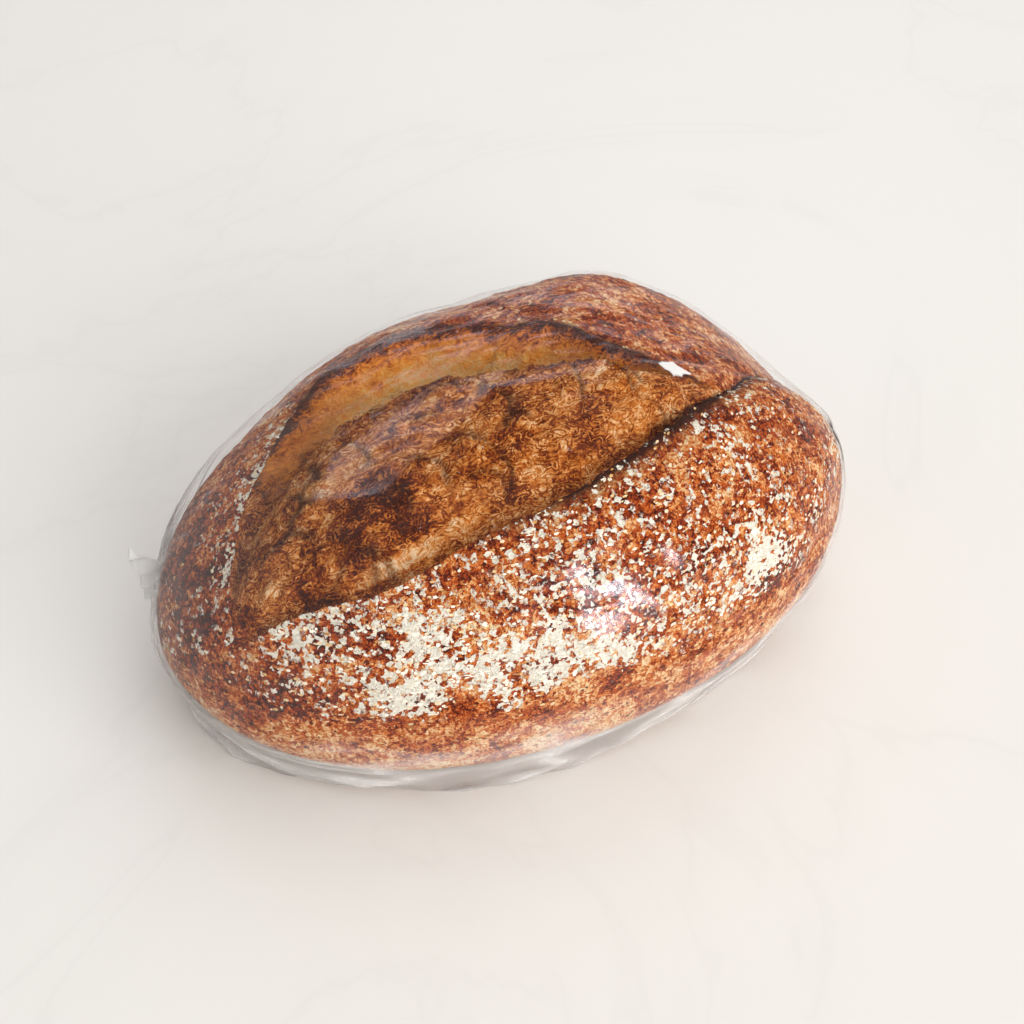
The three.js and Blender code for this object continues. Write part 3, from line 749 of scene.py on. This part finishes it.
# Pleats fan out from the gather, creases cross them, and slack swells between. The puff is in mm.
pleats_round, pleats_along = 9, 1.6
fold_way = np.stack([np.broadcast_to(pleats_round * np.cos(turn), reach_out.shape),
                     np.broadcast_to(pleats_round * np.sin(turn), reach_out.shape),
                     np.broadcast_to(pleats_along * away[:, None], reach_out.shape)], -1).reshape(-1, 3)
pleats = (1 - 2 * np.abs(lumps(fold_way, 1.0, 21, 2))).reshape(reach_out.shape)
creases = (1 - 2.2 * np.abs(lumps(film_mm, np.array([34, 20, 26]), 22, 3))).reshape(reach_out.shape)
slack = lumps(film_mm, 24, 23, 2).reshape(reach_out.shape)
low = film[..., 2] / MM
bulge = 2.6 * np.exp(-((film_mm[:, 0] + 88) ** 2 + (film_mm[:, 1] - 44) ** 2
                       + (film_mm[:, 2] - 62) ** 2) / 24 ** 2).reshape(reach_out.shape)
puff = pleats * (1.9 * np.exp(-away / 0.3) + 0.22)[:, None] + 0.5 * creases + 0.5 * slack + bulge
skirt = ramp(16, 2, low) * (1 - 0.6 * ramp(-20, 60, film[..., 0] / MM))
puff += skirt * (2.2 * np.maximum(pleats, 0) + 1.6 * np.maximum(slack, -0.2))
film += directions * np.maximum(puff, -0.6)[..., None] * MM

# The ruffled tail beyond the gather, from its open end to its neck.
tail_way = np.linspace(1, 0, tail_count + 1)[:-1, None]
tail_spread = 3.6 + 11 * tail_way ** 0.8
height = np.sin(turn)[None, :] * tail_spread
ruffle = 1.5 * tail_way * np.sin(height * 0.95 + 0.8 * np.sin(height * 0.37 + 1))
ruffle += 0.7 * tail_way * wobble(height, 1.6, 31)
sideways = np.cos(turn)[None, :] * (3.4 - 2.1 * tail_way) + ruffle
outwards = tail_way * (9.6 + 1.8 * wobble(height, 4, 32)) + 0.4
neck = np.array(heart) + np.array(gather) * (reach_out[0].mean() + film_gap)
tail = neck + MM * (outwards[..., None] * np.array(gather) + sideways[..., None] * np.array(gather_side)
                    + height[..., None] * np.array(gather_up))
film = np.concatenate([tail, film])
film[..., 2] = np.maximum(film[..., 2], table_clearance)

rows = np.arange(len(film) - 1)[:, None] * fold_count
around = np.arange(fold_count)
beside = (around + 1) % fold_count
quads = np.stack([rows + around, rows + beside, rows + fold_count + beside, rows + fold_count + around], -1)
end_ring = (len(film) - 1) * fold_count
end_point = film[-1].mean(0)
end_number = len(film) * fold_count
end_fan = [(int(end_ring + a), int(end_ring + b), end_number) for a, b in zip(around, beside)]
film_mesh = bpy.data.meshes.new("clear_bag_film")
film_mesh.from_pydata(film.reshape(-1, 3).tolist() + [end_point.tolist()], [],
                      quads.reshape(-1, 4).tolist() + end_fan)
film_mesh.shade_smooth()
fold_lines = np.vstack([np.zeros((tail_count, fold_count)), np.clip(pleats, 0, 1) ** 4])
gathered = np.concatenate([np.ones(tail_count), 0.5 * np.exp(-away / 0.22)])[:, None]
gathered = np.maximum(gathered, 0.7 * ramp(42, 8, film[..., 2] / MM) * (0.2 + 0.8 * fold_lines))
point_values(film_mesh, "gathered", np.append(gathered.ravel(), 0))
clear_film = placed(bpy.data.objects.new("clear_bag_film", film_mesh))
wall = clear_film.modifiers.new("wall", "SOLIDIFY")
wall.thickness = film_thickness
wall.offset = -1

# Clear polypropylene film: colourless and glossy, with a slight milkiness that gathers where it is
# seen edge on, and fine stretch lines that run from the gathered end. Plies lie together in the tail
# and in the folds at the foot, and look whiter there. A small patch near the ear is painted milky white
# as a painted glint, standing in for a lamp's bright reflection in the film.
film_finish, tree = new_material("clear_polypropylene_film")
place = add(tree, "ShaderNodeTexCoord", "Object")
drawn = add(tree, "ShaderNodeMapping", 0, {
    "Vector": place, "Rotation": (0, 0, 0.3), "Scale": (0.3, 1, 0.8)})
stretch = add(tree, "ShaderNodeTexNoise", 0, {
    "Vector": drawn, "Scale": per_mm(9), "Detail": 3, "Roughness": 0.45, "Distortion": 0.8})
film_bump = add(tree, "ShaderNodeBump", 0, {"Height": stretch, "Distance": MM, "Strength": 0.5})
edge_on = add(tree, "ShaderNodeLayerWeight", "Facing", {"Blend": 0.5, "Normal": film_bump})
edge_power = add(tree, "ShaderNodeMath", 0, {0: edge_on, 1: 5.0}, operation="POWER")
mirror = add(tree, "ShaderNodeMath", 0, {0: edge_power, 1: 0.3, 2: 0.011},
             operation="MULTIPLY_ADD", use_clamp=True)
streak = add(tree, "ShaderNodeMapRange", 0, {0: stretch, 1: 0.38, 2: 0.62, 3: 0.25, 4: 1.4})
mirror = add(tree, "ShaderNodeMath", 0, {0: mirror, 1: streak}, operation="MULTIPLY")
milk = add(tree, "ShaderNodeMath", 0, {0: edge_on, 1: 4.0}, operation="POWER")
milk = add(tree, "ShaderNodeMath", 0, {0: milk, 1: 0.055, 2: 0.001},
           operation="MULTIPLY_ADD", use_clamp=True)
plies = add(tree, "ShaderNodeAttribute", "Fac", attribute_name="gathered")
milk = add(tree, "ShaderNodeMath", 0, {0: plies, 1: 0.55, 2: milk},
           operation="MULTIPLY_ADD", use_clamp=True)

# The painted glint: a ragged four-cornered patch of milky white near the ear, standing in for a lamp's bright
# reflection in the film.
glint_warp = add(tree, "ShaderNodeTexNoise", 1, {"Vector": place, "Scale": per_mm(5), "Detail": 2})
glint_warp = add(tree, "ShaderNodeVectorMath", 0, {0: glint_warp, 1: (4 * MM, 4 * MM, 0)},
                operation="MULTIPLY")
glint_at = add(tree, "ShaderNodeVectorMath", 0, {0: place, 1: glint_warp}, operation="ADD")
glint_at = add(tree, "ShaderNodeMapping", 0, {
    "Vector": glint_at, "Location": tuple(-v - 2 * MM for v in glint_place)})
glint_at = add(tree, "ShaderNodeMapping", 0, {"Vector": glint_at, "Rotation": (0, 0, math.radians(25))})
glint_at = add(tree, "ShaderNodeVectorMath", 0, {0: glint_at, 1: (per_mm(6.4), per_mm(4.5), per_mm(80))},
              operation="MULTIPLY")
glint_at = add(tree, "ShaderNodeVectorMath", 0, {0: glint_at}, operation="ABSOLUTE")
glint_reach = add(tree, "ShaderNodeVectorMath", "Value", {0: glint_at, 1: (1, 1, 1)},
                 operation="DOT_PRODUCT")
in_glint = add(tree, "ShaderNodeMapRange", 0, {0: glint_reach, 1: 1.0, 2: 0.8, 3: 0.0, 4: 0.6})
milk = add(tree, "ShaderNodeMath", 0, {0: milk, 1: in_glint}, operation="MAXIMUM")

through = add(tree, "ShaderNodeBsdfTransparent", 0, {"Color": linear("#FFFFFF")})
haze = add(tree, "ShaderNodeBsdfDiffuse", 0, {"Color": linear("#FDFCFB")})
shine = add(tree, "ShaderNodeBsdfGlossy", 0, {
    "Color": linear("#FFFFFF"), "Roughness": 0.17, "Normal": film_bump})
film_shader = add(tree, "ShaderNodeMixShader", 0, {0: milk, 1: through, 2: haze})
film_shader = add(tree, "ShaderNodeMixShader", 0, {0: mirror, 1: film_shader, 2: shine})
add(tree, "ShaderNodeOutputMaterial", 0, {"Surface": film_shader})
film_mesh.materials.append(film_finish)
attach(clear_film, "root")
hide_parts("clear_bag")
